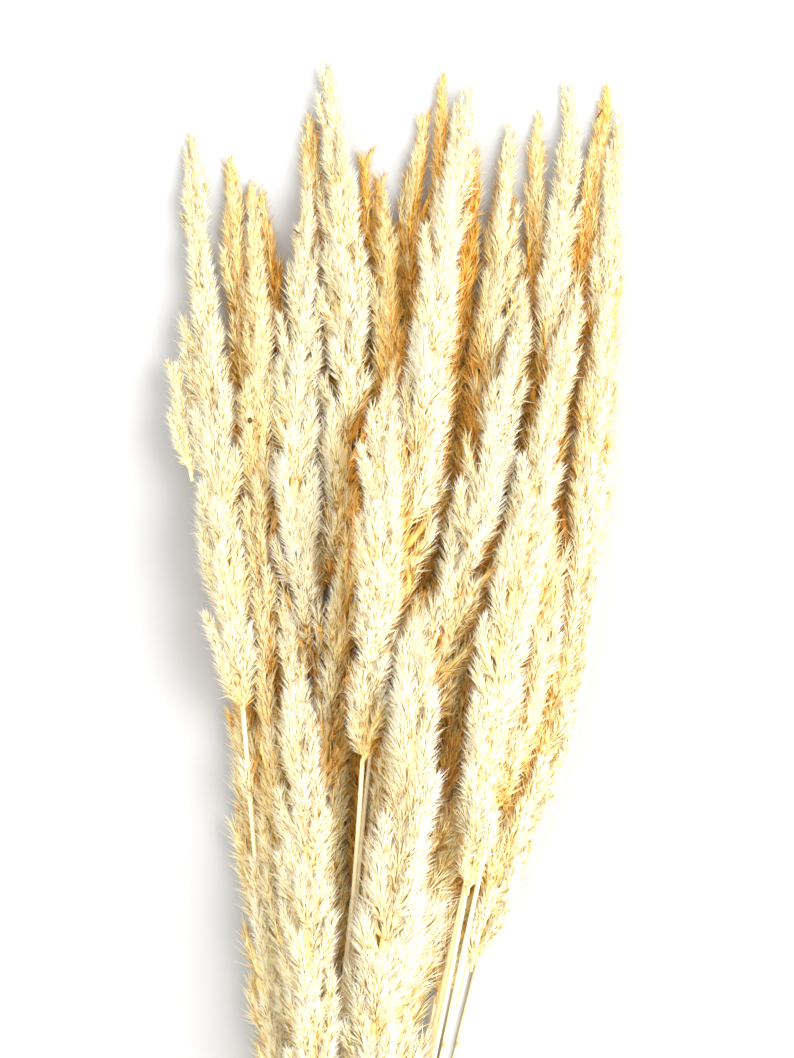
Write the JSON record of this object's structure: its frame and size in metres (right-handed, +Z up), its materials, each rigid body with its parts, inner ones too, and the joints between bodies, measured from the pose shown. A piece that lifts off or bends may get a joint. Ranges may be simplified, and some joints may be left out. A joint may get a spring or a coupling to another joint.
{
  "type": "bunch of dried pampas grass",
  "caption": "Bunch of dried pampas grass lying flat: straw stems gathered at their cut ends, each carrying one long feathery plume, cream to golden, fanned out at the other end.",
  "frame": {"origin": "middle of the bunch's bounding box seen from above, on the surface that it lies on", "axes": "+Y along the bunch from the cut stem ends to the plume tips, +X across it to the right as seen from above with the tips away, +Z up from the surface"},
  "size_m": [0.2298, 0.7042, 0.0795],
  "materials": {
    "straw": "dry pale straw, smooth, faintly glossy along its length, with fine lengthwise fibres",
    "plume_cream": "bleached cream hairs, dry and silky, with warm golden depths between the locks",
    "plume_golden": "golden straw-coloured hairs, dry and silky, paler at their ends"
  },
  "bodies": {
    "root": {"stem_01": "straw", "plume_01": "plume_cream", "stem_02": "straw", "plume_02": "plume_golden", "stem_03": "straw", "plume_03": "plume_golden", "stem_04": "straw", "plume_04": "plume_golden", "stem_05": "straw", "plume_05": "plume_cream", "stem_06": "straw", "plume_06": "plume_cream", "stem_07": "straw", "plume_07": "plume_cream", "stem_08": "straw", "plume_08": "plume_cream", "stem_09": "straw", "plume_09": "plume_cream", "stem_10": "straw", "plume_10": "plume_cream", "stem_11": "straw", "plume_11": "plume_cream", "stem_12": "straw", "plume_12": "plume_golden", "stem_13": "straw", "plume_13": "plume_golden", "stem_14": "straw", "plume_14": "plume_cream", "stem_15": "straw", "plume_15": "plume_golden", "stem_16": "straw", "plume_16": "plume_golden", "stem_17": "straw", "plume_17": "plume_cream", "stem_18": "straw", "plume_18": "plume_golden", "stem_19": "straw", "plume_19": "plume_cream", "stem_20": "straw", "plume_20": "plume_cream", "stem_21": "straw", "plume_21": "plume_golden", "stem_22": "straw", "plume_22": "plume_cream", "stem_23": "straw", "plume_23": "plume_cream", "stem_24": "straw", "plume_24": "plume_golden", "stem_25": "straw", "plume_25": "plume_cream", "stem_26": "straw", "plume_26": "plume_cream", "stem_27": "straw", "plume_27": "plume_cream", "stem_28": "straw", "plume_28": "plume_cream", "stem_29": "straw", "plume_29": "plume_cream", "side_branch": "plume_cream"}
  },
  "joints": []
}
